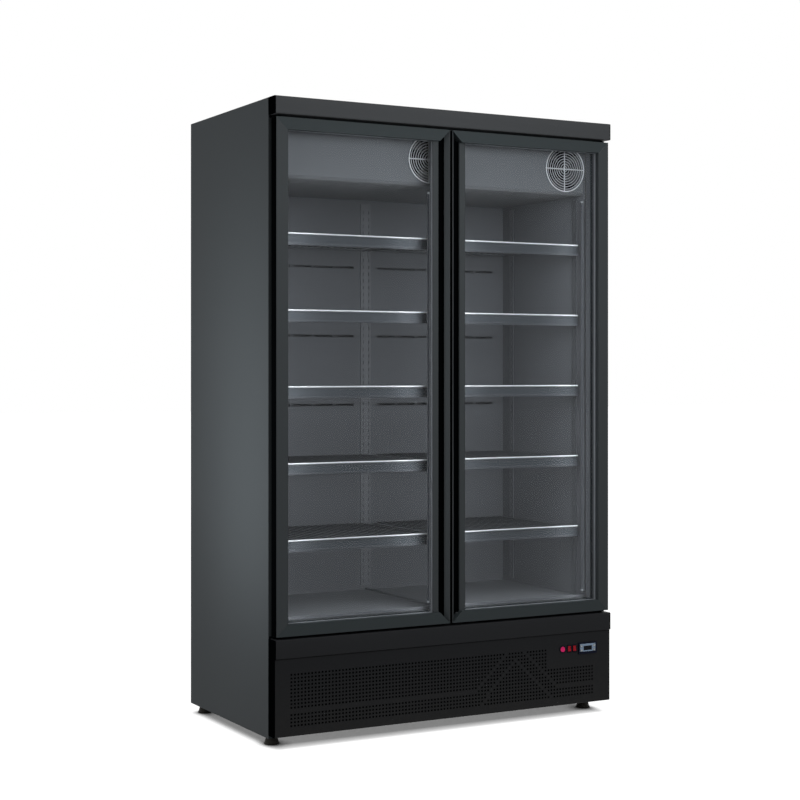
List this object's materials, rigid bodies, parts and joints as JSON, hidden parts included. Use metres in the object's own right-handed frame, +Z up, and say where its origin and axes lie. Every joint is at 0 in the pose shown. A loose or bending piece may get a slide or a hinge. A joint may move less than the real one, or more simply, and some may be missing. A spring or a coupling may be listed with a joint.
{
  "type": "upright display freezer",
  "caption": "Upright glass-door display freezer with doors opening from the middle, wire shelves, a slim header and a perforated lower grille with controls.",
  "frame": {"origin": "on the floor under the middle of the cabinet", "axes": "+X to the right seen from the front, +Y to the rear, +Z up"},
  "size_m": [1.25, 0.7, 2],
  "materials": {
    "grey_paint": "satin powder coat",
    "dark_paint": "satin powder coat",
    "black_paint": "matte powder coat",
    "galvanised": "satin zinc-coated sheet",
    "liner": "satin light grey coated sheet",
    "foam": "rigid closed-cell foam",
    "frame_profile": "satin dark anodised profile",
    "glass": "clear heated glass",
    "spacer": "matte black",
    "gasket": "soft magnetic gasket",
    "nylon": "satin nylon",
    "wire": "grey epoxy-coated wire",
    "guard": "satin plated wire",
    "strip": "satin grey plastic",
    "zinc": "satin zinc-plated steel",
    "lamp_metal": "satin aluminium channel",
    "lamp_lens": "frosted clear plastic",
    "coil": "bare aluminium fins",
    "compressor": "gloss black enamel",
    "black_plastic": "moulded black plastic",
    "bezel": "blue-grey moulded plastic",
    "display": "dark display window",
    "key": "grey rubber key",
    "red_rocker": "lit red plastic",
    "foot": "moulded black foot"
  },
  "bodies": {
    "cabinet": {"side_panels": "grey_paint", "top_panel": "grey_paint", "back_panel": "galvanised", "chassis_sheets": "galvanised", "foam_insulation": "foam", "inner_liner": "liner", "front_frame": "frame_profile", "centre_mullion": "frame_profile", "header_panel": "dark_paint", "lower_trim_rail": "black_paint", "front_grille": "black_paint", "rear_grille": "galvanised", "evaporator_cover": "liner", "fan_guards": "guard", "evaporator_fan_motors": "black_plastic", "evaporator_coil": "coil", "drip_pan": "liner", "duct_panel": "liner", "shelf_uprights": "zinc", "shelf_clips": "zinc", "wire_shelves": "wire", "ticket_strips": "strip", "deck_pans": "liner", "lamp_bars": "lamp_metal", "lamp_covers": "lamp_lens", "compressor": "compressor", "condenser_coil": "coil", "condenser_fan_frame": "black_paint", "hinge_brackets": "zinc", "control_bezels": "bezel", "controller_display": "display", "cable_gland": "black_plastic"},
    "left_door": {"left_hinge_stile": "frame_profile", "left_handle_stile": "frame_profile", "left_door_rails": "frame_profile", "left_glass_panes": "glass", "left_glass_spacers": "spacer", "left_door_gasket": "gasket", "left_hinge_bushes": "nylon"},
    "right_door": {"right_hinge_stile": "frame_profile", "right_handle_stile": "frame_profile", "right_door_rails": "frame_profile", "right_glass_panes": "glass", "right_glass_spacers": "spacer", "right_door_gasket": "gasket", "right_hinge_bushes": "nylon"},
    "power_rocker": {"power_switch": "red_rocker"},
    "light_rocker": {"light_switch": "red_rocker"},
    "heater_rocker": {"heater_switch": "red_rocker"},
    "up_key": {"up_button": "key"},
    "down_key": {"down_button": "key"},
    "set_key": {"set_button": "key"},
    "defrost_key": {"defrost_button": "key"},
    "left_fan_wheel": {"left_evaporator_fan": "black_plastic"},
    "right_fan_wheel": {"right_evaporator_fan": "black_plastic"},
    "condenser_fan_wheel": {"condenser_fan": "black_plastic"},
    "foot_front_left": {"front_left_foot": "foot"},
    "foot_front_right": {"front_right_foot": "foot"},
    "foot_rear_left": {"rear_left_foot": "foot"},
    "foot_rear_right": {"rear_right_foot": "foot"}
  },
  "joints": [
    {"name": "left_door_swing", "type": "hinge", "parent": "cabinet", "child": "left_door", "pos_m": [-0.604, -0.325, 1.1415], "axis": [0, 0, -1], "range_deg": [0, 105], "stiffness_Nm_per_rad": 1.5, "springref_deg": -8.59},
    {"name": "right_door_swing", "type": "hinge", "parent": "cabinet", "child": "right_door", "pos_m": [0.604, -0.325, 1.1415], "axis": [0, 0, 1], "range_deg": [0, 105], "stiffness_Nm_per_rad": 1.5, "springref_deg": -8.59},
    {"name": "power_rocker_tilt", "type": "hinge", "parent": "cabinet", "child": "power_rocker", "pos_m": [0.433, -0.342, 0.227], "axis": [1, 0, 0], "range_deg": [0, 14]},
    {"name": "light_rocker_tilt", "type": "hinge", "parent": "cabinet", "child": "light_rocker", "pos_m": [0.459, -0.342, 0.227], "axis": [1, 0, 0], "range_deg": [0, 14]},
    {"name": "heater_rocker_tilt", "type": "hinge", "parent": "cabinet", "child": "heater_rocker", "pos_m": [0.48, -0.342, 0.227], "axis": [1, 0, 0], "range_deg": [0, 14]},
    {"name": "up_key_press", "type": "slide", "parent": "cabinet", "child": "up_key", "axis": [0, 1, 0], "range_m": [0, 0.001], "stiffness_N_per_m": 300, "springref_m": -0.0005},
    {"name": "down_key_press", "type": "slide", "parent": "cabinet", "child": "down_key", "axis": [0, 1, 0], "range_m": [0, 0.001], "stiffness_N_per_m": 300, "springref_m": -0.0005},
    {"name": "set_key_press", "type": "slide", "parent": "cabinet", "child": "set_key", "axis": [0, 1, 0], "range_m": [0, 0.001], "stiffness_N_per_m": 300, "springref_m": -0.0005},
    {"name": "defrost_key_press", "type": "slide", "parent": "cabinet", "child": "defrost_key", "axis": [0, 1, 0], "range_m": [0, 0.001], "stiffness_N_per_m": 300, "springref_m": -0.0005},
    {"name": "left_fan_spin", "type": "hinge", "parent": "cabinet", "child": "left_fan_wheel", "pos_m": [-0.04, -0.235, 1.848], "axis": [0, 1, 0], "continuous": true},
    {"name": "right_fan_spin", "type": "hinge", "parent": "cabinet", "child": "right_fan_wheel", "pos_m": [0.492, -0.235, 1.848], "axis": [0, 1, 0], "continuous": true},
    {"name": "condenser_fan_spin", "type": "hinge", "parent": "cabinet", "child": "condenser_fan_wheel", "pos_m": [-0.22, -0.163, 0.1482], "axis": [0, 1, 0], "continuous": true},
    {"name": "front_left_foot_turn", "type": "hinge", "parent": "cabinet", "child": "foot_front_left", "pos_m": [-0.587, -0.24, 0.03], "axis": [0, 0, 1], "continuous": true},
    {"name": "front_right_foot_turn", "type": "hinge", "parent": "cabinet", "child": "foot_front_right", "pos_m": [0.587, -0.24, 0.03], "axis": [0, 0, 1], "continuous": true},
    {"name": "rear_left_foot_turn", "type": "hinge", "parent": "cabinet", "child": "foot_rear_left", "pos_m": [-0.587, 0.3055, 0.03], "axis": [0, 0, 1], "continuous": true},
    {"name": "rear_right_foot_turn", "type": "hinge", "parent": "cabinet", "child": "foot_rear_right", "pos_m": [0.587, 0.3055, 0.03], "axis": [0, 0, 1], "continuous": true}
  ]
}
